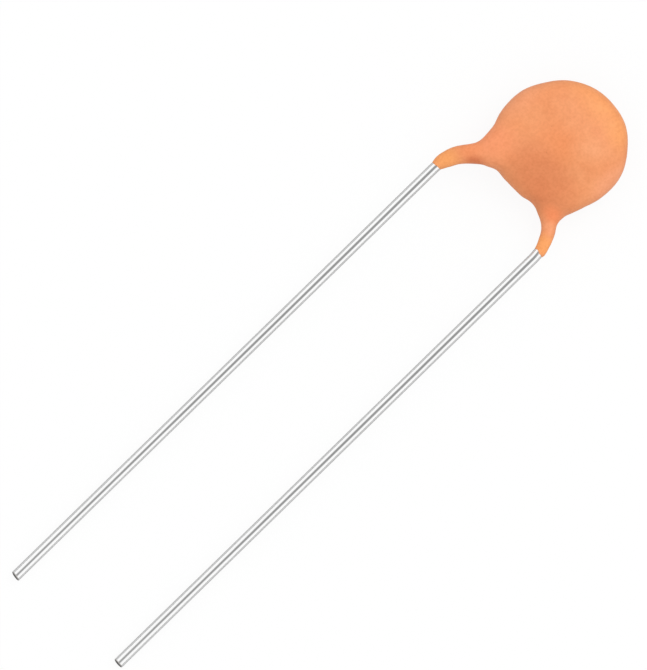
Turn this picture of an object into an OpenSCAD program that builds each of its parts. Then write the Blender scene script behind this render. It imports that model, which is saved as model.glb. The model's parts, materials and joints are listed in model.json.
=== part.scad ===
// Ceramic disc capacitor with two radial leads. Millimetres.
// Every piece is drawn flat: X across the leads, +Y from the lead tips to the disc, +Z out of the
// front face, the disc's middle at Y = 0 and the straight leads in the plane Z = 0. The whole part
// is then tipped by a degree or two, so that it lies at rest with coat and lead tips on Z = 0.

/* [Ceramic element] */
// Diameter of the ceramic disc
ceramic_d = 4.2; // [3.6:0.1:4.6]
// Thickness of the ceramic disc
ceramic_t = 0.5; // [0.3:0.05:0.8]
// Bevel on both edges of the pressed ceramic
ceramic_bevel = 0.06; // [0.02:0.01:0.12]
// Bare ceramic left round each silver electrode
silver_margin = 0.3; // [0.15:0.05:0.4]
// Thickness of each fired silver electrode
silver_t = 0.03; // [0.02:0.01:0.06]

/* [Solder joints] */
// Film of solder between an electrode and its lead
solder_film = 0.03; // [0.02:0.01:0.08]
// Solder over the crown of the lead
solder_cover = 0.05; // [0.03:0.01:0.1]
// Radius of the hollow flank of a joint
solder_flank_r = 0.35; // [0.25:0.05:0.45]
// Angle at which the solder meets the silver
solder_wetting = 25; // [15:1:40]
// How far a joint reaches back from the middle of the chord towards the rim
solder_reach = 1.0; // [0.7:0.05:1.1]
// How far a joint runs on past the inner end of its lead before it rounds off
solder_past = 0.06; // [0.02:0.01:0.1]

/* [Leads] */
// Diameter of the tinned wire
lead_d = 0.4; // [0.35:0.05:0.5]
// Distance between the two straight leads
lead_pitch = 5.0; // [4.8:0.1:6]
// Length of the left lead below the corner of its bend
left_len = 22.63; // [5:0.01:30]
// Length of the right lead below the corner of its bend
right_len = 22.49; // [5:0.01:30]
// Angle of the bend towards the disc
lead_splay = 45.5; // [43:0.5:48]
// Radius of that bend at the wire's middle
bend_r = 2.0; // [1.6:0.1:2]
// How far outside the ceramic a lead has risen to its electrode
crank_gap = 0.25; // [0.2:0.05:0.35]
// Radius of the small crank at the top of that rise
crank_r = 0.6; // [0.4:0.1:0.8]
// How far a lead runs past the middle of its chord
lead_overlap = 0.9; // [0.5:0.05:1]
// How far inside the ceramic's rim the two leads cross
cross_depth = 1.52; // [1.4:0.02:1.7]
// Sideways shift of that crossing from the middle of the disc
cross_shift = -0.07; // [-0.1:0.01:0.1]
// Sideways shift of the disc from the middle of the leads
disc_shift = 0.24; // [0:0.02:0.3]
// Bevel left by the cutter on a lead tip
tip_bevel = 0.03; // [0.02:0.01:0.06]

/* [Resin coat] */
// Resin round the rim of the ceramic
rim_cover = 0.34; // [0.25:0.01:0.45]
// Resin over the solder, before the blends over the leads
face_cover = 0.09; // [0.05:0.01:0.3]
// Rise of the domed face above the crown of the rim
dome_rise = 0.18; // [0.1:0.01:0.25]
// Resin round the left lead at the root of its leg
left_cover = 0.14; // [0.08:0.005:0.18]
// Resin round the right lead at the root of its leg
right_cover = 0.06; // [0.05:0.005:0.16]
// Width of the blend between the disc and a leg
leg_blend = 1.05; // [0.8:0.05:1.3]
// Length over which a leg thins towards its end
taper_len = 0.7; // [0.4:0.05:0.8]
// Resin left at the very end of a leg
end_cover = 0.03; // [0.02:0.005:0.05]
// Part of the bend left bare below the end of the left leg
left_bare = 0.24; // [0.1:0.01:0.45]
// Part of the bend left bare below the end of the right leg
right_bare = 0.38; // [0.1:0.01:0.45]
// How far the wet resin slumped sideways before it set
slump_x = -0.7; // [-0.8:0.01:0.8]
// How far it slumped towards the leads
slump_y = -0.41; // [-0.6:0.01:0]
// How much smaller the slumped resin is all round than the disc
slump_inset = 0.62; // [0.45:0.01:0.8]
// Half of the thickness of the slumped resin
slump_h = 0.6; // [0.4:0.05:0.7]
// Width of the blend between the disc and the slumped resin
slump_blend = 0.4; // [0.2:0.05:0.6]

/* [Hidden] */

// Sides: the left lead is soldered to the front face, the right lead to the rear face.
LEFT = -1;
RIGHT = 1;

// Steps of the coat's surface
fan_step = 7;
root_steps = 7;
turn_step = 9;
bend_steps = 8;
leg_steps = 11;
tip_steps = 8;
ring_steps = 24;
// Angles either side of a leg between which the disc's face runs out into the leg
root_near = 20;
root_far = 34;
// How far outside the disc a leg counts as a leg
root_gap = 0.25;
// A bend is a few microns fuller than the straight wire, which runs a little way into it
bend_fullness = 0.004;
bend_lap = 0.04;

lead_r = lead_d / 2;
silver_d = ceramic_d - 2 * silver_margin;
silver_z = ceramic_t / 2 + silver_t;
wire_z = silver_z + solder_film + lead_r;
coat_r = ceramic_d / 2 + rim_cover;
coat_h = wire_z + lead_r + solder_cover + face_cover;
rim_r = coat_h - dome_rise;
dome_r = (pow(coat_r - rim_r, 2) + coat_h * coat_h - rim_r * rim_r) / (2 * dome_rise);
disc_mid = [disc_shift, 0, 0];

function unit(v) = v / norm(v);
function blend(a, b, t) = a + (b - a) * t;
function polar(angle) = [cos(angle), sin(angle), 0];
function in_plan(v) = unit([v.x, v.y, 0]);
function heading(v) = atan2(v.y, v.x);
function reversed(list) = [for (i = [len(list) - 1:-1:0]) list[i]];

// Course of a lead: tip, corner of the bend, crank at the rim, inner end on the electrode

function splay_dir(side) = [-side * sin(lead_splay), cos(lead_splay), 0];
function on_face(side) = [0, 0, -side];
function lead_corner(side) =
    let (below_cross = (lead_pitch / 2 - side * (disc_shift + cross_shift)) / tan(lead_splay))
    [side * lead_pitch / 2, cross_depth - ceramic_d / 2 - below_cross, 0];
function chord_mid(side) =
    lead_corner(side) + splay_dir(side) * ((disc_mid - lead_corner(side)) * splay_dir(side));
function chord_half(side) = sqrt(pow(ceramic_d / 2, 2) - pow(norm(disc_mid - chord_mid(side)), 2));
function lead_course(side) =
    let (level = on_face(side) * wire_z)
    [
        lead_corner(side) - [0, side == LEFT ? left_len : right_len, 0],
        lead_corner(side),
        chord_mid(side) - splay_dir(side) * (chord_half(side) + crank_gap) + level,
        chord_mid(side) + splay_dir(side) * lead_overlap + level
    ];

// Bend of radius r at point b, between the straights from a and to c

function turn(a, b, c) = acos(unit(b - a) * unit(c - b));
function bend_cut(a, b, c, r) = r * tan(turn(a, b, c) / 2);
function bend_start(a, b, c, r) = b + unit(a - b) * bend_cut(a, b, c, r);
function bend_end(a, b, c, r) = b + unit(c - b) * bend_cut(a, b, c, r);
function bend_axis(a, b, c) = unit(cross(b - a, c - b));
function bend_inward(a, b, c) = cross(bend_axis(a, b, c), unit(b - a));
function bend_point(a, b, c, r, angle) =
    bend_start(a, b, c, r) + bend_inward(a, b, c) * r * (1 - cos(angle)) + unit(b - a) * r * sin(angle);

// Coated stretch of a lead, from its inner end to the end of the leg

function bare_len(side) = side == LEFT ? left_bare : right_bare;
function coat_bend(side) =
    let (p = lead_course(side), whole = turn(p[0], p[1], p[2]), bare = bare_len(side) / bend_r * 180 / PI)
    [for (i = [bend_steps:-1:0]) bend_point(p[0], p[1], p[2], bend_r, blend(bare, whole, i / bend_steps))];
function coat_course(side) = let (p = lead_course(side)) concat([p[3], p[2]], coat_bend(side));
function run_left(course, i) =
    i >= len(course) - 1 ? 0 : norm(course[i + 1] - course[i]) + run_left(course, i + 1);
function leg_cover(side, run) =
    blend(end_cover, side == LEFT ? left_cover : right_cover, sqrt(min(run / taper_len, 1)));
function leg_radii(side) =
    let (course = coat_course(side))
    [for (i = [0:len(course) - 1]) lead_r + leg_cover(side, run_left(course, i))];

// Distance of a point from the coat's surface, negative inside

function disc_gap(p) =
    let (
        rho = norm([p.x - disc_mid.x, p.y]),
        rim = coat_r - rim_r,
        drop = dome_r - coat_h,
        z = abs(p.z)
    )
    rho * drop > rim * (z + drop) ? norm([rho - rim, z]) - rim_r : norm([rho, z + drop]) - dome_r;
function slump_gap(p) =
    let (
        rho = norm([p.x - disc_mid.x - slump_x, p.y - slump_y]),
        flat = coat_r - slump_inset - slump_h
    )
    norm([max(rho - flat, 0), p.z]) - slump_h;
function rod_gap(p, a, b, ra, rb) =
    let (ab = b - a, t = max(0, min(1, (p - a) * ab / (ab * ab))))
    norm(p - a - ab * t) - blend(ra, rb, t);
function leg_gap(p, course, radii) =
    min([for (i = [0:len(course) - 2]) rod_gap(p, course[i], course[i + 1], radii[i], radii[i + 1])]);
function soft_min(a, b, width) = min(a, b) - pow(max(width - abs(a - b), 0), 2) / (4 * width);
function body_gap(p) = soft_min(disc_gap(p), slump_gap(p), slump_blend);
function coat_gap(p) =
    soft_min(
        soft_min(body_gap(p), leg_gap(p, left_course, left_radii), leg_blend),
        leg_gap(p, right_course, right_radii), leg_blend
    );
// Length of the ray from an inside point to the surface
function reach(from, dir, so_far = 0, tries = 80) =
    let (gap = coat_gap(from + dir * so_far))
    tries == 0 || gap > -0.00001 ? so_far : reach(from, dir, so_far - gap, tries - 1);
function surface_point(from, dir) = from + dir * reach(from, dir);

left_course = coat_course(LEFT);
left_radii = leg_radii(LEFT);
right_course = coat_course(RIGHT);
right_radii = leg_radii(RIGHT);

// Spokes of the coat's surface: [inside point, direction in plan, flatness of the half ring]

function disc_spoke(angle) = [disc_mid, polar(angle), coat_h / coat_r];
// Middle of a leg, from its root on the straight rise of the lead to its end on the bend
function leg_root(side) =
    let (
        p = lead_course(side),
        rise = norm(p[2] - p[1]),
        out = sqrt(pow(coat_r + root_gap, 2) - pow(norm(disc_mid - chord_mid(side)), 2)),
        t = (out - chord_half(side) - crank_gap) / norm([p[2].x - p[1].x, p[2].y - p[1].y])
    )
    blend(p[2], p[1], min(t, 1 - (bend_cut(p[0], p[1], p[2], bend_r) + lead_r / 4) / rise));
function root_heading(side) = heading(leg_root(side) - disc_mid);
function leg_point(side, t) =
    let (
        p = lead_course(side),
        top = bend_end(p[0], p[1], p[2], bend_r),
        straight = norm(top - leg_root(side)),
        whole = turn(p[0], p[1], p[2]),
        run = t * (straight + bend_r * whole * PI / 180 - bare_len(side))
    )
    run < straight ?
        blend(leg_root(side), top, run / straight) :
        bend_point(p[0], p[1], p[2], bend_r, whole - (run - straight) / bend_r * 180 / PI);
function leg_heading(side, t) =
    heading(leg_point(side, min(t + 0.01, 1)) - leg_point(side, max(t - 0.01, 0)));
// Where the disc's own fan of spokes ends beside a leg, with room for it between the two legs
fan_edge = min(root_far, (root_heading(RIGHT) - root_heading(LEFT) - fan_step) / 2);
// From the disc's middle out to the root of a leg, aimed where the disc runs out into the leg
function root_spoke(side, hand, t) =
    let (
        root = leg_root(side),
        angle = root_heading(side) + hand * blend(fan_edge, root_near, t),
        from = t == 1 ? root : blend(disc_mid, root, t)
    )
    [from, in_plan(surface_point(disc_mid, polar(angle)) - from), blend(coat_h / coat_r, 1, t)];
// At the root, turning from there to square across the leg
function turn_spokes(side, hand) =
    let (
        aim = root_spoke(side, hand, 1)[1],
        square = polar(leg_heading(side, 0) + hand * 90),
        steps = round(acos(min(aim * square, 1)) / turn_step)
    )
    [for (i = [0:steps]) [leg_root(side), in_plan(blend(aim, square, steps == 0 ? 1 : i / steps)), 1]];
function leg_spoke(side, t, turned) = [leg_point(side, t), polar(leg_heading(side, t) + turned), 1];
// Out along one flank of a leg, round its end and back along the other flank
function leg_spokes(side) =
    concat(
        [for (i = [1:root_steps - 1]) root_spoke(side, -1, i / root_steps)],
        turn_spokes(side, -1),
        [for (i = [1:leg_steps]) leg_spoke(side, i / leg_steps, -90)],
        [for (i = [1:tip_steps]) leg_spoke(side, 1, -90 + 180 * i / tip_steps)],
        [for (i = [leg_steps - 1:-1:1]) leg_spoke(side, i / leg_steps, 90)],
        reversed(turn_spokes(side, 1)),
        [for (i = [root_steps - 1:-1:1]) root_spoke(side, 1, i / root_steps)]
    );
function fan_spokes(from, to) =
    let (steps = ceil((to - from) / fan_step))
    [for (i = [0:steps]) disc_spoke(blend(from, to, i / steps))];
function coat_spokes() =
    let (left = root_heading(LEFT), right = root_heading(RIGHT))
    concat(
        fan_spokes(right + fan_edge, left + 360 - fan_edge),
        leg_spokes(LEFT),
        fan_spokes(left + fan_edge, right - fan_edge),
        leg_spokes(RIGHT)
    );
function half_ring(spoke) =
    [
        for (k = [0:ring_steps])
            let (angle = -90 + 180 * k / ring_steps)
            surface_point(
                spoke[0],
                k == 0 || k == ring_steps ?
                    [0, 0, sign(angle)] : unit(spoke[1] * cos(angle) + [0, 0, spoke[2] * sin(angle)])
            )
    ];

// Resting tilt: coat and lead tips touch the ground together

belly = [
    for (x = [-4:4], y = [-5:4])
        surface_point(disc_mid + [x, y, 0] * coat_r / 10, [0, 0, -1])
];
tip_y = min(lead_course(LEFT)[0].y, lead_course(RIGHT)[0].y);
function belly_low(tilt) = min([for (p = belly) p.y * sin(tilt) + p.z * cos(tilt)]);
function tip_low(tilt) = tip_y * sin(tilt) - lead_r * cos(tilt);
function settle(tilt, tries = 4) =
    tries == 0 ? tilt : settle(tilt + asin((tip_low(tilt) - belly_low(tilt)) / -tip_y), tries - 1);
rest_tilt = settle(0);
rest_y = -(coat_r + tip_y) / 2 * cos(rest_tilt);

module at_rest()
    translate([0, rest_y, -tip_low(rest_tilt)])
        rotate([rest_tilt, 0, 0])
            children();

// Frame with the given axes and origin
module placed(x, y, z, origin)
    multmatrix([
        [x.x, y.x, z.x, origin.x],
        [x.y, y.y, z.y, origin.y],
        [x.z, y.z, z.z, origin.z]
    ])
        children();

// Straight wire from a to b, bevelled at a and lengthened into the bends at its ends
module rod(a, b, bevel = 0, lap_a = 0, lap_b = 0) {
    length = lap_a + norm(b - a) + lap_b;
    dir = unit(b - a);
    translate(a - dir * lap_a)
        rotate([0, acos(dir.z), heading(dir)])
            rotate_extrude()
                polygon([[0, 0], [lead_r - bevel, 0], [lead_r, bevel], [lead_r, length], [0, length]]);
}

// Wire bent at point b
module elbow(a, b, c, r) {
    inward = bend_inward(a, b, c);
    start = bend_start(a, b, c, r);
    placed(-inward, unit(b - a), bend_axis(a, b, c), start + inward * r)
        rotate_extrude(angle = turn(a, b, c))
            translate([r, 0])
                circle(lead_r + bend_fullness);
}

module lead(side) {
    p = lead_course(side);
    rod(p[0], bend_start(p[0], p[1], p[2], bend_r), bevel = tip_bevel, lap_b = bend_lap);
    elbow(p[0], p[1], p[2], bend_r);
    rod(
        bend_end(p[0], p[1], p[2], bend_r), bend_start(p[1], p[2], p[3], crank_r),
        lap_a = bend_lap, lap_b = bend_lap
    );
    elbow(p[1], p[2], p[3], crank_r);
    rod(bend_end(p[1], p[2], p[3], crank_r), p[3], lap_a = bend_lap);
}

module ceramic() {
    r = ceramic_d / 2;
    h = ceramic_t / 2;
    translate(disc_mid)
        rotate_extrude()
            polygon([
                [0, -h], [r - ceramic_bevel, -h], [r, ceramic_bevel - h],
                [r, h - ceramic_bevel], [r - ceramic_bevel, h], [0, h]
            ]);
}

module electrode(side)
    translate(disc_mid + [0, 0, side == LEFT ? ceramic_t / 2 : -silver_z])
        cylinder(d = silver_d, h = silver_t);

// Half section of a solder joint: round over the lead, then hollow down to the silver.
// It can be sunk below the silver, for cutting.
function joint_section(sink) =
    let (
        mid = solder_film + lead_r,
        crown = lead_r + solder_cover,
        flank_z = solder_flank_r * cos(solder_wetting),
        flank_x = sqrt(pow(crown + solder_flank_r, 2) - pow(flank_z - mid, 2)),
        meet = atan2(flank_z - mid, flank_x),
        foot_x = flank_x - solder_flank_r * sin(solder_wetting)
    )
    concat(
        [[0, -sink]],
        [for (i = [0:5]) let (a = blend(90, meet, i / 5)) [crown * cos(a), mid + crown * sin(a)]],
        [
            for (i = [1:3])
                let (a = blend(180 + meet, 270 - solder_wetting, i / 4))
                [flank_x + solder_flank_r * cos(a), flank_z + solder_flank_r * sin(a)]
        ],
        [[foot_x, 0]],
        sink > 0 ? [[foot_x, -sink]] : []
    );

// Solder mound before the lead is taken out of it
module mound(side, sink = 0) {
    half = joint_section(sink);
    last = len(half) - 1;
    whole = [for (i = [1:last]) half[i], for (i = [last:-1:2]) [-half[i].x, half[i].y]];
    x = splay_dir(side);
    z = on_face(side);
    placed(x, cross(z, x), z, chord_mid(side) + z * silver_z) {
        translate([-solder_reach, 0, 0])
            rotate([90, 0, 90])
                linear_extrude(solder_reach + lead_overlap + solder_past)
                    polygon(whole);
        translate([lead_overlap + solder_past, 0, 0])
            rotate([0, 0, -90])
                rotate_extrude(angle = 180)
                    polygon(half);
        translate([-solder_reach, 0, 0])
            rotate([0, 0, 90])
                rotate_extrude(angle = 180)
                    polygon(half);
    }
}

module joint(side)
    difference() {
        mound(side);
        lead(side);
    }

// Everything the coat is moulded round, with its pieces run into each other
module coat_core() {
    ceramic();
    translate(disc_mid)
        cylinder(d = silver_d, h = 2 * silver_z, center = true);
    mound(LEFT, sink = ceramic_t / 2);
    mound(RIGHT, sink = ceramic_t / 2);
    lead(LEFT);
    lead(RIGHT);
}

function is_triangle(p) = p[0] != p[1] && p[1] != p[2] && p[2] != p[0];

// Outer skin of the coat: half rings round the whole outline, joined into one closed surface
module coat_skin() {
    spokes = coat_spokes();
    points = [for (s = spokes) each half_ring(s)];
    row = ring_steps + 1;
    quads = [
        for (i = [0:len(spokes) - 1], k = [0:ring_steps - 1])
            let (here = i * row + k, next = (i + 1) % len(spokes) * row + k)
            [here, here + 1, next + 1, next]
    ];
    faces = [for (q = quads) each [[q[0], q[1], q[2]], [q[0], q[2], q[3]]]];
    polyhedron(points, [for (f = faces) if (is_triangle([for (i = f) points[i]])) f]);
}

module resin_coat()
    color("#f09f6d")
        at_rest()
            difference() {
                coat_skin();
                coat_core();
            }

module ceramic_disc()
    color("#d9cbb2")
        at_rest()
            ceramic();

module front_electrode()
    color("#d7d7d9")
        at_rest()
            electrode(LEFT);

module rear_electrode()
    color("#d7d7d9")
        at_rest()
            electrode(RIGHT);

module front_solder()
    color("#a9abad")
        at_rest()
            joint(LEFT);

module rear_solder()
    color("#a9abad")
        at_rest()
            joint(RIGHT);

module left_lead()
    color("#c3c6ca")
        at_rest()
            lead(LEFT);

module right_lead()
    color("#c3c6ca")
        at_rest()
            lead(RIGHT);

resin_coat();
ceramic_disc();
front_electrode();
rear_electrode();
front_solder();
rear_solder();
left_lead();
right_lead();
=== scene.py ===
"""Looks of a ceramic disc capacitor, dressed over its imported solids.

Each new piece is drawn flat and in millimetres, as the part's source draws it: X across the leads,
+Y from the lead tips to the disc, +Z out of the front face, the disc's middle at Y = 0. It is then
laid at rest, in metres, on the solids that it stands for.
"""

import json
import math

import bmesh
import bpy
from bpy.props import FloatProperty, FloatVectorProperty, IntProperty, PointerProperty
from mathutils import Matrix, Vector

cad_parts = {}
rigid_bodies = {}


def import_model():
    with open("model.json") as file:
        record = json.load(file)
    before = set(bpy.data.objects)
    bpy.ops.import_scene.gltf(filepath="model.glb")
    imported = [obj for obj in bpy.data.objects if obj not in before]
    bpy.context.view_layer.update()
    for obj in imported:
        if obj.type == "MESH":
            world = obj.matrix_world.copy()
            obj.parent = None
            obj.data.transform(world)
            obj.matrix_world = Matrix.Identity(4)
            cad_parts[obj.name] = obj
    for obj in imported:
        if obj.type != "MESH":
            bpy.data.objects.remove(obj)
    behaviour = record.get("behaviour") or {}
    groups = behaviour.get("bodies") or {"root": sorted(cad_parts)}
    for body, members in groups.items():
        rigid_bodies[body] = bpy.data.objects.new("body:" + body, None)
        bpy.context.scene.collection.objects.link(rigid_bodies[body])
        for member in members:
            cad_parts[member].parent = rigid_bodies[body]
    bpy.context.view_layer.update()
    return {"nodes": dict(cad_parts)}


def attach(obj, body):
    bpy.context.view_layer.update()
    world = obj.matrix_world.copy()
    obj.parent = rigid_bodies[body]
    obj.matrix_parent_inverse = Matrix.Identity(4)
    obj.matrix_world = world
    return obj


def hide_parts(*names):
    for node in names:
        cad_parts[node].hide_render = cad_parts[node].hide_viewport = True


bl_info = {
    "name": "Ceramic disc capacitor",
    "version": (1, 0, 0),
    "blender": (4, 5, 0),
    "location": "View3D > Sidebar > Capacitor",
    "description": "Dresses the packed solids of a small ceramic disc capacitor",
    "category": "Object",
}

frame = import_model()

MM = 0.001
# In millimetres: corners closer than MERGE are one, and a part within TOUCH of a place is there
MERGE = 0.0005
TOUCH = 0.0001
# Resting place of the flat drawing: tipped until coat and lead tips touch the ground together
REST_TILT = math.radians(1.98143)
REST_SHIFT = Vector((0.0, 11.6899, 1.0931))
TO_REST = (
    Matrix.Scale(MM, 4) @ Matrix.Translation(REST_SHIFT) @ Matrix.Rotation(REST_TILT, 4, "X")
)

# Course of each lead in the flat drawing: tip, corner of the bend, crank at the rim, inner end
LEAD_COURSES = {
    "left_lead": (
        (-2.5, -25.8338, 0.0), (-2.5, -3.2038, 0.0),
        (-1.15782, -1.88485, 0.51), (1.13749, 0.370752, 0.51),
    ),
    "right_lead": (
        (2.5, -25.3597, 0.0), (2.5, -2.86968, 0.0),
        (1.55498, -1.94101, -0.51), (-0.72627, 0.300762, -0.51),
    ),
}
# How far from its middle the cut at a lead's tip goes, all round and along the wire
CUT_REACH = 0.25
TIP_REACH = 0.1
# Edges of the wires and of the coat sharper than these are shown sharp
WIRE_CREASE = math.radians(35)
COAT_CREASE = math.radians(75)

# Edges of the coat's solid sharper than this bound its outer skin
SKIN_EDGE = math.radians(38)
# Where the coat ends on each lead, the slant and the drift of its edge there, and their reach
LEG_ENDS = (
    (Vector((-2.48656, -3.84292, 0.0)), math.radians(9), Vector((0.0, -0.03, 0.0))),
    (Vector((2.46833, -3.40651, 0.0)), math.radians(-5), Vector((0.008, 0.0, 0.0))),
)
LEG_END_REACH = 0.25
# Width of each kind of unevenness of the coat
WAVES = {"dip_waves": 1.3, "orange_peel": 0.22, "frayed_ends": 0.2}
# What the coat holds, in the order in which it is cut out of the coat, and the room that the
# hidden pieces get, so that no two cuts share a face
WIRES = ("left_wire", "right_wire")
HELD = (
    *WIRES, "front_solder", "rear_solder", "front_electrode", "rear_electrode", "ceramic_disc")
HELD_ROOM = 0.001
# Swells and hollows that the drying resin left along the coat's outline: place, push and reach
RUNS = (
    ((-2.0, -1.75), (-0.065, 0.0), 0.6), ((-1.68, -2.9), (0.03, -0.038), 0.55),
    ((-0.8, -2.46), (0.0, 0.05), 0.4), ((1.0, -2.4), (0.0, 0.07), 0.5),
    ((2.28, -1.45), (0.06, -0.022), 0.6), ((2.27, -2.2), (-0.045, -0.017), 0.35),
    ((-2.2, 0.4), (-0.03, 0.008), 0.9), ((2.55, 0.7), (0.028, 0.009), 0.9),
    ((1.3, 2.2), (0.012, 0.028), 0.9), ((2.62, -3.3), (0.035, -0.01), 0.35),
    ((-2.71, -3.65), (-0.028, -0.01), 0.35),
)


# Sizes and colours that a user would change

class WireSettings(bpy.types.PropertyGroup):
    """Sizes and finish of the two leads"""

    diameter: FloatProperty(
        name="Diameter", description="Diameter of the tinned wire",
        default=0.4 * MM, unit="LENGTH", precision=5)
    bend_radius: FloatProperty(
        name="Bend radius", description="Radius of the bend at the wire's middle",
        default=2.0 * MM, unit="LENGTH", precision=5)
    crank_radius: FloatProperty(
        name="Crank radius", description="Radius of the crank at the rim of the ceramic",
        default=0.6 * MM, unit="LENGTH", precision=5)
    sides: IntProperty(
        name="Sides", description="Flats round the wire", default=48, min=12, max=96)
    tip_bevel: FloatProperty(
        name="Tip bevel", description="Rounding that the cutter left on a lead tip",
        default=0.03 * MM, unit="LENGTH", precision=6)
    left_slant: FloatProperty(
        name="Left slant", description="Slant of the left lead's sheared end, seen from above",
        default=math.radians(8.0), subtype="ANGLE")
    right_slant: FloatProperty(
        name="Right slant", description="Slant of the right lead's sheared end, seen from above",
        default=math.radians(3.0), subtype="ANGLE")
    tip_lean: FloatProperty(
        name="Tip lean", description="How far a sheared end leans back from upright",
        default=math.radians(12.0), subtype="ANGLE")
    tin: FloatVectorProperty(
        name="Tin", description="Colour of the tin plating",
        default=(0.98, 0.98, 0.98), subtype="COLOR", size=3, min=0, max=1)
    core: FloatVectorProperty(
        name="Core", description="Colour of the bare metal at a sheared end",
        default=(0.62, 0.6, 0.58), subtype="COLOR", size=3, min=0, max=1)


class CoatSettings(bpy.types.PropertyGroup):
    """Surface and colours of the dipped coat"""

    mesh_step: FloatProperty(
        name="Mesh step", description="Size of the coat's faces",
        default=0.034 * MM, unit="LENGTH", precision=6)
    sag: FloatProperty(
        name="Sag", description="Height of the slow waves left by dipping",
        default=0.014 * MM, unit="LENGTH", precision=6)
    peel: FloatProperty(
        name="Orange peel", description="Height of the fine unevenness of the dried coat",
        default=0.003 * MM, unit="LENGTH", precision=6)
    fray: FloatProperty(
        name="Fray", description="Unevenness of the ends of the two legs",
        default=0.035 * MM, unit="LENGTH", precision=6)
    feather: FloatProperty(
        name="Feather", description="How much thinner the coat is left at the ends of the two legs",
        default=0.018 * MM, unit="LENGTH", precision=6)
    resin: FloatVectorProperty(
        name="Resin", description="Main colour of the coat",
        default=(0.895, 0.318, 0.12), subtype="COLOR", size=3, min=0, max=1)
    # Partly painted shade: besides resin that ran together, this darker colour paints the shade on
    # the lower side of the ridge over the front lead.
    pooled_and_shaded: FloatVectorProperty(
        name="Pooled resin", description="Darker colour where the coat ran together and set thick",
        default=(0.75, 0.222, 0.075), subtype="COLOR", size=3, min=0, max=1)
    # Partly painted light: besides the random mottle, this paler colour paints light on the right
    # of the face, by the inner end of the front lead.
    pale: FloatVectorProperty(
        name="Pale resin", description="Paler colour where filler shows in the coat",
        default=(0.91, 0.362, 0.152), subtype="COLOR", size=3, min=0, max=1)
    # Partly painted light: besides the thin coat at the leg ends, this yellower, lighter colour
    # paints light along the top rim.
    thin: FloatVectorProperty(
        name="Thin resin", description="Yellower colour where the coat is thin over the wire",
        default=(0.98, 0.385, 0.117), subtype="COLOR", size=3, min=0, max=1)
    deep: FloatVectorProperty(
        name="Deep resin", description="Deeper orange of the thick middle of the coat",
        default=(0.87, 0.272, 0.086), subtype="COLOR", size=3, min=0, max=1)
    flush: FloatVectorProperty(
        name="Flush", description="Redder colour at the flanks and the roots of the legs",
        default=(0.98, 0.335, 0.142), subtype="COLOR", size=3, min=0, max=1)
    blush: FloatVectorProperty(
        name="Blush", description="Pale rosy colour along the rim of the coat",
        default=(0.95, 0.372, 0.174), subtype="COLOR", size=3, min=0, max=1)
    glow: FloatVectorProperty(
        name="Glow", description="Strong red-orange at the root of the right leg",
        default=(0.98, 0.29, 0.105), subtype="COLOR", size=3, min=0, max=1)
    # Painted shade: the darkening in the hollow under the left leg.
    painted_shade: FloatVectorProperty(
        name="Shade", description="Brown-red of the hollow under the left leg",
        default=(0.68, 0.165, 0.05), subtype="COLOR", size=3, min=0, max=1)


class StudioSettings(bpy.types.PropertyGroup):
    """Floor, light and camera"""

    floor_size: FloatProperty(
        name="Floor", description="Width of the floor", default=3.0, unit="LENGTH")
    ambient: FloatProperty(
        name="Ambient", description="Light of the white room on the object",
        default=0.9, min=0, max=2)
    key_power: FloatProperty(
        name="Key lamp", description="Power of the large soft lamp", default=0.8, unit="POWER")
    lens: FloatProperty(
        name="Lens", description="Focal length of the camera in millimetres", default=800.0)
    view_height: FloatProperty(
        name="View height", description="Height of the picture at the object",
        default=24.98 * MM, unit="LENGTH", precision=5)


# Common steps of modelling

def start_fresh():
    """Back to object mode with nothing selected."""
    if bpy.context.object and bpy.context.object.mode != "OBJECT":
        bpy.ops.object.mode_set(mode="OBJECT")
    bpy.ops.object.select_all(action="DESELECT")


def pick(piece):
    """Makes a piece the one selected and active object."""
    start_fresh()
    piece.select_set(True)
    bpy.context.view_layer.objects.active = piece


def pick_none(cage):
    """In edit mode, deselects every part of the mesh."""
    for part in (*cage.verts, *cage.edges, *cage.faces):
        part.select = False


def pick_faces(piece, wanted):
    """In edit mode, selects the faces that pass a test."""
    cage = bmesh.from_edit_mesh(piece.data)
    pick_none(cage)
    for face in cage.faces:
        if wanted(face):
            face.select_set(True)
    cage.select_flush_mode()
    bmesh.update_edit_mesh(piece.data)


def pick_edges(piece, wanted):
    """In edit mode, selects the edges that pass a test."""
    bpy.ops.mesh.select_mode(type="EDGE")
    cage = bmesh.from_edit_mesh(piece.data)
    pick_none(cage)
    for edge in cage.edges:
        if wanted(edge):
            edge.select_set(True)
    bmesh.update_edit_mesh(piece.data)


def finish_with(piece, kind, **values):
    """Adds a modifier with these values and applies it."""
    modifier = piece.modifiers.new(kind.title(), kind)
    for key, value in values.items():
        setattr(modifier, key, value)
    pick(piece)
    bpy.ops.object.modifier_apply(modifier=modifier.name)


def lay_at_rest(piece):
    """Turns the flat drawing in millimetres into the resting piece in metres."""
    pick(piece)
    piece.matrix_world = TO_REST
    bpy.ops.object.transform_apply(location=True, rotation=True, scale=True)


# Leads

def bend_at(a, b, c, radius):
    """Start, middle, axis, angle and end of the bend of that radius at b, between a and c."""
    before, after = (b - a).normalized(), (c - b).normalized()
    angle = before.angle(after)
    cut = radius * math.tan(angle / 2)
    axis = before.cross(after).normalized()
    start = b - before * cut
    return start, start + axis.cross(before) * radius, axis, angle, b + after * cut


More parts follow.
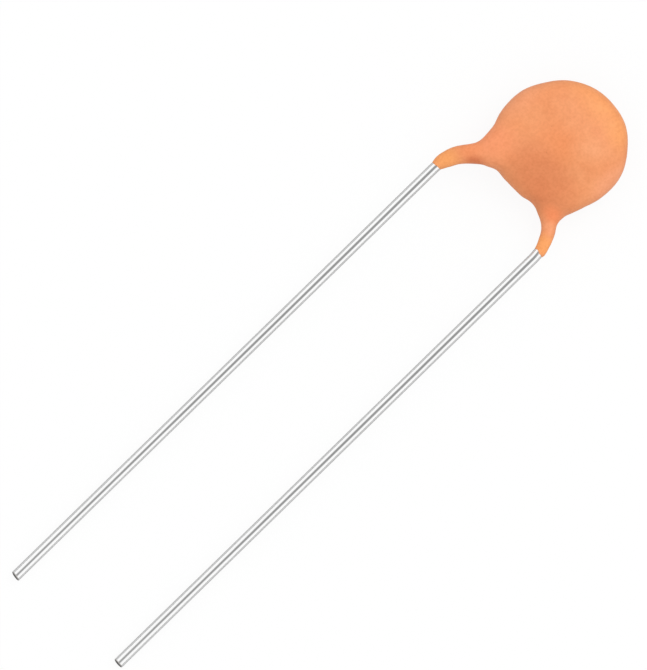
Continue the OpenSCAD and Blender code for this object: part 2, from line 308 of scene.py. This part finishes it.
def draw_wire(name, course, slant, sizes):
    """One lead: a sheared disc at the tip, extruded and spun along the lead's course."""
    tip, corner, crank, inner = (Vector(p) for p in course)
    radius = sizes.diameter / MM / 2
    start_fresh()
    bpy.ops.mesh.primitive_circle_add(
        vertices=sizes.sides, radius=radius, fill_type="NGON",
        location=tip, rotation=(math.pi / 2, 0, 0))
    wire = bpy.context.object
    wire.name = wire.data.name = name
    bpy.ops.object.transform_apply(location=True, rotation=True, scale=True)
    bpy.ops.object.mode_set(mode="EDIT")
    bpy.ops.mesh.select_all(action="SELECT")
    here = tip
    bends = (
        bend_at(tip, corner, crank, sizes.bend_radius / MM),
        bend_at(corner, crank, inner, sizes.crank_radius / MM),
    )
    for start, middle, axis, angle, end in bends:
        bpy.ops.mesh.extrude_region_move(TRANSFORM_OT_translate={"value": start - here})
        # A step for every two degrees, six at least
        bpy.ops.mesh.spin(
            steps=max(6, round(math.degrees(angle) / 2)), angle=-angle, center=middle, axis=axis)
        here = end
    bpy.ops.mesh.extrude_region_move(TRANSFORM_OT_translate={"value": inner - here})
    bpy.ops.mesh.select_all(action="SELECT")
    bpy.ops.mesh.remove_doubles(threshold=MERGE)
    bpy.ops.mesh.normals_make_consistent(inside=False)
    # The cutter's shear: an end that is slanted in plan, leans back and has rounded edges
    pick_faces(wire, lambda f: all(v.co.y < tip.y + TOUCH for v in f.verts))
    bpy.ops.transform.rotate(value=slant, orient_axis="Z", center_override=tip)
    bpy.ops.transform.rotate(value=sizes.tip_lean, orient_axis="X", center_override=tip)
    pick_edges(wire, lambda e: all(v.co.y < tip.y + TIP_REACH for v in e.verts))
    bpy.ops.mesh.bevel(offset=sizes.tip_bevel / MM, segments=3, affect="EDGES")
    pick_edges(wire, lambda e: all((v.co - inner).length < 1.05 * radius for v in e.verts))
    bpy.ops.mesh.bevel(offset=sizes.tip_bevel / MM, segments=2, affect="EDGES")
    lay_at_rest(wire)
    bpy.ops.object.shade_smooth_by_angle(angle=WIRE_CREASE)
    mark_cut(wire, TO_REST @ tip)
    return wire


def mark_cut(wire, tip):
    """Marks the bare face at a lead's tip, where the cutter went through the plating."""
    cut = wire.data.attributes.new("cut", "FLOAT", "FACE")
    for face in wire.data.polygons:
        if (face.center - tip).length < CUT_REACH * MM:
            cut.data[face.index].value = 1.0


# Coat

def pick_crown(coat):
    """In edit mode, selects the topmost face of the coat."""
    cage = bmesh.from_edit_mesh(coat.data)
    crown = max(f.calc_center_median().z for f in cage.faces)
    pick_faces(coat, lambda f: f.calc_center_median().z > crown - TOUCH)


def draw_coat(sizes):
    """The dipped coat: the outer skin of its solid, refined and smoothed, still filled."""
    start_fresh()
    coat = bpy.data.objects.new("coat", frame["nodes"]["resin_coat"].data.copy())
    coat.data.transform(TO_REST.inverted())
    bpy.context.scene.collection.objects.link(coat)
    pick(coat)
    bpy.ops.object.mode_set(mode="EDIT")
    bpy.ops.mesh.select_all(action="SELECT")
    bpy.ops.mesh.remove_doubles(threshold=2 * MERGE)
    pick_crown(coat)
    bpy.ops.mesh.select_mode(type="FACE")
    bpy.ops.mesh.faces_select_linked_flat(sharpness=SKIN_EDGE)
    bpy.ops.mesh.select_all(action="INVERT")
    bpy.ops.mesh.delete(type="FACE")
    bpy.ops.mesh.select_all(action="SELECT")
    bpy.ops.mesh.fill_holes(sides=0)
    bpy.ops.mesh.select_all(action="SELECT")
    bpy.ops.mesh.tris_convert_to_quads(face_threshold=math.pi, shape_threshold=math.pi)
    bpy.ops.object.mode_set(mode="OBJECT")
    finish_with(coat, "SUBSURF", levels=2, render_levels=2)
    finish_with(coat, "REMESH", mode="VOXEL", voxel_size=sizes.mesh_step / MM)
    finish_with(coat, "SMOOTH", factor=0.5, iterations=14)
    return coat


def wave(coat, name, height, **where):
    """Soft unevenness of the dried coat, of that kind and height."""
    cloud = bpy.data.textures.new(name, "CLOUDS")
    cloud.noise_scale = WAVES[name]
    cloud.noise_depth = 1
    cloud.noise_basis = "IMPROVED_PERLIN"
    finish_with(
        coat, "DISPLACE", texture=cloud, texture_coords="LOCAL", strength=2 * height / MM,
        mid_level=0.5, **where)


def run_resin(coat):
    """Swells the coat or draws it in along its outline, as the resin ran while it dried."""
    for vertex in coat.data.vertices:
        flat = vertex.co.to_2d()
        for place, push, reach in RUNS:
            near = (flat - Vector(place)).length_squared / reach ** 2
            if near < 1:
                vertex.co += (1 - near) ** 2 * Vector((*push, 0.0))


def fray_legs(coat, sizes):
    """Lets the coat end in a thin, slanted and uneven edge on each lead."""
    ends = coat.vertex_groups.new(name="leg_ends")
    for vertex in coat.data.vertices:
        for end, slant, drift in LEG_ENDS:
            # All of it within the reach of the end, none beyond twice that
            share = min(1.0, 2.0 - (vertex.co - end).length / LEG_END_REACH)
            if share > 0:
                ends.add([vertex.index], share, "REPLACE")
                vertex.co.y += share * (vertex.co.x - end.x) * math.tan(slant)
                vertex.co += share * drift
    finish_with(
        coat, "DISPLACE", strength=-sizes.feather / MM, mid_level=0.0, vertex_group=ends.name)
    wave(coat, "frayed_ends", sizes.fray, direction="Y", vertex_group=ends.name)


def hollow_out(coat):
    """Cuts what the coat holds out of it, so that its wall has its real thickness."""
    for name in HELD:
        held = bpy.data.objects[name]
        core = bpy.data.objects.new("core", held.data.copy())
        core.data.transform(TO_REST.inverted() @ held.matrix_world)
        bpy.context.scene.collection.objects.link(core)
        pick(core)
        bpy.ops.object.mode_set(mode="EDIT")
        bpy.ops.mesh.select_all(action="SELECT")
        bpy.ops.mesh.remove_doubles(threshold=MERGE)
        bpy.ops.mesh.dissolve_degenerate(threshold=MERGE)
        bpy.ops.object.mode_set(mode="OBJECT")
        if name not in WIRES:
            finish_with(core, "DISPLACE", strength=HELD_ROOM, mid_level=0.0)
        finish_with(coat, "BOOLEAN", operation="DIFFERENCE", solver="EXACT", object=core)
        bpy.data.meshes.remove(core.data)
    # Slivers that the cuts left loose in the cavity go
    pick(coat)
    bpy.ops.object.mode_set(mode="EDIT")
    pick_crown(coat)
    bpy.ops.mesh.select_linked()
    bpy.ops.mesh.select_all(action="INVERT")
    bpy.ops.mesh.delete(type="VERT")
    bpy.ops.object.mode_set(mode="OBJECT")
    finish_with(coat, "TRIANGULATE", quad_method="BEAUTY", ngon_method="BEAUTY")


# Nodes

def reckon(tree, operation, a, b):
    """The result of a Math node on two sockets or numbers."""
    node = tree.nodes.new("ShaderNodeMath")
    node.operation = operation
    for socket, value in zip(node.inputs, (a, b)):
        if isinstance(value, bpy.types.NodeSocket):
            tree.links.new(value, socket)
        else:
            socket.default_value = value
    return node.outputs[0]


def ramp(tree, source, low, high, to_low, to_high):
    """Maps low..high smoothly to to_low..to_high."""
    node = tree.nodes.new("ShaderNodeMapRange")
    node.interpolation_type = "SMOOTHSTEP"
    for name, value in (
            ("From Min", low), ("From Max", high), ("To Min", to_low), ("To Max", to_high)):
        node.inputs[name].default_value = value
    tree.links.new(source, node.inputs["Value"])
    return node.outputs["Result"]


def shiny_ray(tree, rays):
    """1 for rays that metal or glass has sent on."""
    return reckon(tree, "MAXIMUM", rays["Is Glossy Ray"], rays["Is Transmission Ray"])


class Shader:
    """A material being wired up: short names for adding and joining nodes."""

    def __init__(self, name):
        self.material = bpy.data.materials.new(name)
        self.material.use_nodes = True
        self.tree = self.material.node_tree
        self.surface = self.tree.nodes["Principled BSDF"]
        self.coords = self.tree.nodes.new("ShaderNodeTexCoord").outputs["Object"]

    def link(self, source, target):
        """Joins an output to an input."""
        self.tree.links.new(source, target)

    def set(self, **values):
        """Constants on the shader's own sockets."""
        for name, value in values.items():
            self.surface.inputs[name.replace("_", " ")].default_value = value

    def noise(self, size, detail=2.0, stretch=(1, 1, 1), seed=0.0):
        """Noise with features of about that size in millimetres, stretched along the axes."""
        place = self.tree.nodes.new("ShaderNodeMapping")
        place.inputs["Scale"].default_value = [1 / (size * MM * s) for s in stretch]
        place.inputs["Location"].default_value = (seed, seed * 0.7, seed * 1.3)
        self.link(self.coords, place.inputs["Vector"])
        noise = self.tree.nodes.new("ShaderNodeTexNoise")
        noise.inputs["Scale"].default_value = 1.0
        noise.inputs["Detail"].default_value = detail
        self.link(place.outputs["Vector"], noise.inputs["Vector"])
        return noise.outputs["Fac"]

    def ramp(self, source, low, high, to_low=0.0, to_high=1.0):
        """Maps low..high smoothly to to_low..to_high."""
        return ramp(self.tree, source, low, high, to_low, to_high)

    def zone(self, middle, radii, turn=0.0, edge=1.0):
        """1 about a point of the flat drawing, falling to 0 in the outer edge of these radii."""
        place = self.tree.nodes.new("ShaderNodeMapping")
        place.vector_type = "TEXTURE"
        place.inputs["Location"].default_value = TO_REST @ Vector(middle)
        place.inputs["Rotation"].default_value = (REST_TILT, 0, math.radians(turn))
        place.inputs["Scale"].default_value = [r * MM for r in radii]
        self.link(self.coords, place.inputs["Vector"])
        ball = self.tree.nodes.new("ShaderNodeTexGradient")
        ball.gradient_type = "SPHERICAL"
        self.link(place.outputs["Vector"], ball.inputs["Vector"])
        return self.ramp(ball.outputs["Fac"], 0.0, edge)

    def mix(self, share, a, b, blend="MIX"):
        """Colour a, changed into colour b by that share."""
        node = self.tree.nodes.new("ShaderNodeMix")
        node.data_type = "RGBA"
        node.blend_type = blend
        self.link(share, node.inputs["Factor"])
        for socket, colour in ((node.inputs[6], a), (node.inputs[7], b)):
            if isinstance(colour, bpy.types.NodeSocket):
                self.link(colour, socket)
            else:
                socket.default_value = (*colour, 1.0)
        return node.outputs[2]

    def stain(self, share, colour, tint):
        """A colour seen through a stain of that share."""
        return self.mix(share, colour, tint, "MULTIPLY")

    def bump(self, height, depth):
        """Small relief, depth in millimetres."""
        node = self.tree.nodes.new("ShaderNodeBump")
        node.inputs["Distance"].default_value = depth * MM
        self.link(height, node.inputs["Height"])
        self.link(node.outputs["Normal"], self.surface.inputs["Normal"])


# Materials

def tinned_wire(sizes):
    """Drawn and tinned wire: bright, with faint draw lines along it and bare metal at the cut."""
    shader = Shader("tinned_wire")
    lines = shader.noise(0.05, 2.0, (1, 160, 1))
    cloud = shader.noise(0.6, 2.0, (1, 4, 1), seed=3.0)
    dull = [0.98 * c for c in sizes.tin]
    tin = shader.mix(shader.ramp(cloud, 0.35, 0.7), sizes.tin, dull)
    cut = shader.tree.nodes.new("ShaderNodeAttribute")
    cut.attribute_name = "cut"
    metal = shader.mix(cut.outputs["Fac"], tin, sizes.core)
    shader.link(metal, shader.surface.inputs["Base Color"])
    shader.link(shader.ramp(lines, 0.3, 0.7, 0.1, 0.16), shader.surface.inputs["Roughness"])
    shader.bump(lines, 0.0006)
    shader.set(Metallic=1.0, Specular_Tint=(0.3, 0.3, 0.3, 1.0))
    return shader.material


# Zones of the coat's colour in the flat drawing, each over those before it: middle, radii, turn in
# degrees, width of the soft edge, share and colour. Some are painted shade and some painted light,
# as marked.
ZONES = (
    ((0.25, -0.1, 0.8), (1.3, 1.1, 1.2), 0, 1.0, 0.9, "deep"),
    # Painted shade below the ridge over the front lead, together with resin that ran together
    ((0.45, -1.4, 0.8), (2.4, 1.35, 1.7), 0, 0.7, 0.7, "pooled_and_shaded"),
    ((1.0, -1.9, 0.5), (1.4, 0.8, 1.5), -20, 1.0, 0.7, "pooled_and_shaded"),
    # Painted light on the right of the face
    ((1.2, 0.6, 0.8), (1.2, 0.8, 1.2), 40, 1.0, 0.8, "pale"),
    # Painted light along the top rim
    ((0.3, 2.05, 0.5), (2.5, 1.0, 1.2), 0, 1.0, 0.65, "thin"),
    ((1.45, 1.7, 0.4), (0.9, 0.8, 1.2), -40, 1.0, 0.6, "thin"),
    ((2.5, 0.3, 0.3), (0.7, 1.3, 1.2), 0, 0.7, 1.0, "blush"),
    ((-1.65, -1.8, 0.5), (1.2, 1.3, 1.4), -40, 0.8, 1.0, "flush"),
    ((-2.0, 0.0, 0.2), (0.8, 1.5, 1.2), 0, 1.0, 0.9, "blush"),
    ((2.1, -2.6, 0.1), (0.7, 0.8, 1.2), 0, 0.8, 0.6, "blush"),
    ((1.8, -2.05, 0.0), (0.65, 0.5, 1.2), 0, 0.9, 1.0, "glow"),
    ((-2.4, -3.5, 0.1), (0.8, 0.8, 1.0), 0, 0.8, 1.0, "thin"),
    ((2.4, -3.1, 0.1), (0.7, 0.6, 1.0), 0, 0.8, 1.0, "thin"),
    ((-2.0, -2.6, 0.4), (0.7, 0.5, 1.0), 40, 0.8, 0.4, "glow"),
    # Painted shade in the hollow under the left leg
    ((-1.63, -2.73, 0.45), (0.6, 0.3, 0.7), 40, 0.9, 0.75, "painted_shade"),
)


def dipped_resin(colours):
    """Orange resin coat: satin, mottled, thicker and darker where it ran together, with painted
    shade below the ridge over the front lead and under the left leg, and painted light on the right
    of the face and along the top rim.
    """
    shader = Shader("dipped_resin")
    mottle = shader.noise(0.9, 3.0)
    blotch = shader.noise(0.3, 2.0, seed=8.0)
    grain = shader.noise(0.1, 3.0, seed=5.0)
    specks = shader.noise(0.12, 1.0, seed=11.0)
    colour = shader.mix(shader.ramp(mottle, 0.3, 0.7, 0.0, 0.5), colours.resin, colours.pale)
    for middle, radii, turn, edge, share, tint in ZONES:
        spread = reckon(shader.tree, "MULTIPLY", shader.zone(middle, radii, turn, edge), share)
        colour = shader.mix(spread, colour, getattr(colours, tint))
    colour = shader.stain(shader.ramp(blotch, 0.35, 0.7, 0.0, 0.5), colour, (0.93, 0.88, 0.82))
    colour = shader.stain(shader.ramp(grain, 0.35, 0.7, 0.0, 0.8), colour, (0.92, 0.88, 0.82))
    colour = shader.stain(shader.ramp(specks, 0.78, 0.82, 0.0, 0.3), colour, (0.6, 0.5, 0.45))
    shader.link(colour, shader.surface.inputs["Base Color"])
    shader.link(shader.ramp(mottle, 0.3, 0.7, 0.46, 0.56), shader.surface.inputs["Roughness"])
    shader.bump(grain, 0.002)
    return shader.material


def plain_finish(name, dark, light, grain, roughness, metallic=0.0):
    """Finish of a hidden piece: two close shades of a material with grain of that size."""
    shader = Shader(name)
    noise = shader.noise(grain, 4.0)
    shader.link(shader.mix(shader.ramp(noise, 0.3, 0.7), dark, light),
                shader.surface.inputs["Base Color"])
    shader.link(shader.ramp(noise, 0.3, 0.7, roughness - 0.06, roughness + 0.06),
                shader.surface.inputs["Roughness"])
    shader.bump(noise, grain * 0.05)
    shader.set(Metallic=metallic)
    return shader.material


# Studio

# Floor: its tone to the light and to the camera, its share of plain white, and metal's part of that
PAPER = (0.6, 0.6, 0.6)
PAPER_SEEN = (0.95, 0.95, 0.95)
WHITE_SHARE = 0.9
WHITE_IN_METAL = 0.1
# Room as metal sees it: a dark gap overhead, where the camera stands, and a dark low skirt
GAP_EDGE = math.radians(36)
GAP_MIDDLE = math.radians(14)
GAP_LEVEL = 0.3
SKIRT_TOP = math.radians(13)
SKIRT_LEVEL = 0.05
# Width of the key lamp, and its place from the disc
KEY_SIZE = 0.5
KEY_PLACE = Vector((0.05, 0.32, 0.5))
# Point of the flat drawing in the middle of the picture, and the turn of the picture
PICTURE_MIDDLE = Vector((-0.921, -11.319, 0.0))
PICTURE_TURN = math.radians(45.715)


def lay_floor(settings):
    """A pale floor, white to the camera apart from the object's soft shadow."""
    start_fresh()
    bpy.ops.mesh.primitive_plane_add(size=settings.floor_size)
    floor = bpy.context.object
    floor.name = "floor"
    shader = Shader("pale_floor")
    tree = shader.tree
    rays = tree.nodes.new("ShaderNodeLightPath").outputs
    direct = rays["Is Camera Ray"]
    shader.link(shader.mix(direct, PAPER, PAPER_SEEN), shader.surface.inputs["Base Color"])
    shader.set(Roughness=0.9, Specular_IOR_Level=0.1)
    in_metal = reckon(tree, "MULTIPLY", shiny_ray(tree, rays), WHITE_IN_METAL)
    seen = reckon(tree, "MAXIMUM", direct, in_metal)
    white = tree.nodes.new("ShaderNodeEmission")
    both = tree.nodes.new("ShaderNodeMixShader")
    shader.link(reckon(tree, "MULTIPLY", seen, WHITE_SHARE), both.inputs["Fac"])
    shader.link(shader.surface.outputs[0], both.inputs[1])
    shader.link(white.outputs[0], both.inputs[2])
    shader.link(both.outputs[0], tree.nodes["Material Output"].inputs["Surface"])
    floor.data.materials.append(shader.material)


def light_room(settings):
    """A white room round the object, which only metal sees with its dark gap and skirt."""
    world = bpy.data.worlds.new("white_room")
    bpy.context.scene.world = world
    world.use_nodes = True
    tree = world.node_tree
    room = tree.nodes["Background"]
    room.inputs["Color"].default_value = (1, 1, 1, 1)
    coords = tree.nodes.new("ShaderNodeTexCoord")
    split = tree.nodes.new("ShaderNodeSeparateXYZ")
    tree.links.new(coords.outputs["Generated"], split.inputs[0])
    height = split.outputs["Z"]
    gap = ramp(tree, height, math.cos(GAP_EDGE), math.cos(GAP_MIDDLE), 1.0, GAP_LEVEL)
    skirt = ramp(tree, height, 0.0, math.sin(SKIRT_TOP), SKIRT_LEVEL, 1.0)
    rays = tree.nodes.new("ShaderNodeLightPath").outputs
    level = tree.nodes.new("ShaderNodeMix")
    level.data_type = "FLOAT"
    tree.links.new(shiny_ray(tree, rays), level.inputs["Factor"])
    level.inputs[2].default_value = settings.ambient
    tree.links.new(reckon(tree, "MULTIPLY", gap, skirt), level.inputs[3])
    strength = reckon(tree, "MAXIMUM", level.outputs[0], rays["Is Camera Ray"])
    tree.links.new(strength, room.inputs["Strength"])


def hang_lamp(settings):
    """One large soft lamp above and beyond the disc."""
    lamp = bpy.data.lights.new("soft_key", "AREA")
    lamp.shape = "DISK"
    lamp.size = KEY_SIZE
    lamp.energy = settings.key_power
    key = bpy.data.objects.new("soft_key", lamp)
    bpy.context.scene.collection.objects.link(key)
    key.location = TO_REST.to_translation() + KEY_PLACE
    key.rotation_mode = "QUATERNION"
    key.rotation_quaternion = (-KEY_PLACE).to_track_quat("-Z", "Y")


def aim_camera(settings):
    """A far camera square to the disc's face, turned so that the leads run to the lower left."""
    camera = bpy.data.cameras.new("camera")
    camera.lens = settings.lens
    camera.sensor_width = 36.0
    eye = bpy.data.objects.new("camera", camera)
    bpy.context.scene.collection.objects.link(eye)
    bpy.context.scene.camera = eye
    distance = settings.view_height * settings.lens / camera.sensor_width
    camera.clip_start = 0.1 * distance
    camera.clip_end = 10 * distance
    turn = Matrix.Rotation(REST_TILT, 4, "X") @ Matrix.Rotation(PICTURE_TURN, 4, "Z")
    eye.matrix_world = (
        Matrix.Translation(TO_REST @ PICTURE_MIDDLE) @ turn
        @ Matrix.Translation((0, 0, distance)))


# Operators

class CAPACITOR_OT_leads(bpy.types.Operator):
    """Draw the two tinned leads"""

    bl_idname = "capacitor.leads"
    bl_label = "Leads"

    def execute(self, context):
        sizes = context.scene.capacitor_wire
        finish = tinned_wire(sizes)
        for node, slant in (("left_lead", sizes.left_slant), ("right_lead", sizes.right_slant)):
            wire = draw_wire(node.replace("lead", "wire"), LEAD_COURSES[node], slant, sizes)
            wire.data.materials.append(finish)
            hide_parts(node)
            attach(wire, "root")
        return {"FINISHED"}


class CAPACITOR_OT_coat(bpy.types.Operator):
    """Draw the dipped resin coat"""

    bl_idname = "capacitor.coat"
    bl_label = "Resin coat"

    def execute(self, context):
        sizes = context.scene.capacitor_coat
        coat = draw_coat(sizes)
        run_resin(coat)
        wave(coat, "dip_waves", sizes.sag)
        wave(coat, "orange_peel", sizes.peel)
        fray_legs(coat, sizes)
        hollow_out(coat)
        coat.data.materials.clear()
        coat.data.materials.append(dipped_resin(sizes))
        lay_at_rest(coat)
        bpy.ops.object.shade_smooth_by_angle(angle=COAT_CREASE)
        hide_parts("resin_coat")
        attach(coat, "root")
        return {"FINISHED"}


class CAPACITOR_OT_core(bpy.types.Operator):
    """Give the hidden ceramic, silver and solder their finishes"""

    bl_idname = "capacitor.core"
    bl_label = "Ceramic core"

    def execute(self, context):
        ceramic = plain_finish(
            "fired_ceramic", (0.56, 0.47, 0.35), (0.66, 0.57, 0.44), grain=0.08, roughness=0.75)
        silver = plain_finish(
            "fired_silver", (0.66, 0.66, 0.65), (0.78, 0.78, 0.77), grain=0.05, roughness=0.5,
            metallic=1.0)
        solder = plain_finish(
            "solder", (0.46, 0.47, 0.48), (0.57, 0.58, 0.59), grain=0.12, roughness=0.32,
            metallic=1.0)
        for name, finish in (
                ("ceramic_disc", ceramic), ("front_electrode", silver), ("rear_electrode", silver),
                ("front_solder", solder), ("rear_solder", solder)):
            mesh = frame["nodes"][name].data
            mesh.materials.clear()
            mesh.materials.append(finish)
        return {"FINISHED"}


class CAPACITOR_OT_studio(bpy.types.Operator):
    """Set up the floor, the light and the camera"""

    bl_idname = "capacitor.studio"
    bl_label = "Studio"

    def execute(self, context):
        settings = context.scene.capacitor_studio
        context.scene.view_settings.view_transform = "Standard"
        lay_floor(settings)
        light_room(settings)
        hang_lamp(settings)
        aim_camera(settings)
        return {"FINISHED"}


# Panel and registration

class CAPACITOR_PT_panel(bpy.types.Panel):
    """The pieces of the capacitor and their settings"""

    bl_idname = "CAPACITOR_PT_panel"
    bl_label = "Disc capacitor"
    bl_space_type = "VIEW_3D"
    bl_region_type = "UI"
    bl_category = "Capacitor"

    def draw(self, context):
        for operator, group in STEPS:
            box = self.layout.box()
            box.operator(operator.bl_idname)
            if group:
                settings = getattr(context.scene, group)
                for name in settings.bl_rna.properties.keys():
                    if name not in ("rna_type", "name"):
                        box.prop(settings, name)


GROUPS = {
    "capacitor_wire": WireSettings,
    "capacitor_coat": CoatSettings,
    "capacitor_studio": StudioSettings,
}
STEPS = (
    (CAPACITOR_OT_leads, "capacitor_wire"),
    (CAPACITOR_OT_coat, "capacitor_coat"),
    (CAPACITOR_OT_core, None),
    (CAPACITOR_OT_studio, "capacitor_studio"),
)


def register():
    """Adds the settings, the operators and the panel."""
    for group, kind in GROUPS.items():
        bpy.utils.register_class(kind)
        setattr(bpy.types.Scene, group, PointerProperty(type=kind))
    for operator, _ in STEPS:
        bpy.utils.register_class(operator)
    bpy.utils.register_class(CAPACITOR_PT_panel)


def unregister():
    """Takes away what register adds."""
    bpy.utils.unregister_class(CAPACITOR_PT_panel)
    for operator, _ in reversed(STEPS):
        bpy.utils.unregister_class(operator)
    for group, kind in reversed(GROUPS.items()):
        delattr(bpy.types.Scene, group)
        bpy.utils.unregister_class(kind)


def main():
    """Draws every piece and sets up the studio."""
    register()
    bpy.ops.capacitor.leads()
    bpy.ops.capacitor.coat()
    bpy.ops.capacitor.core()
    bpy.ops.capacitor.studio()


if __name__ == "__main__":
    main()
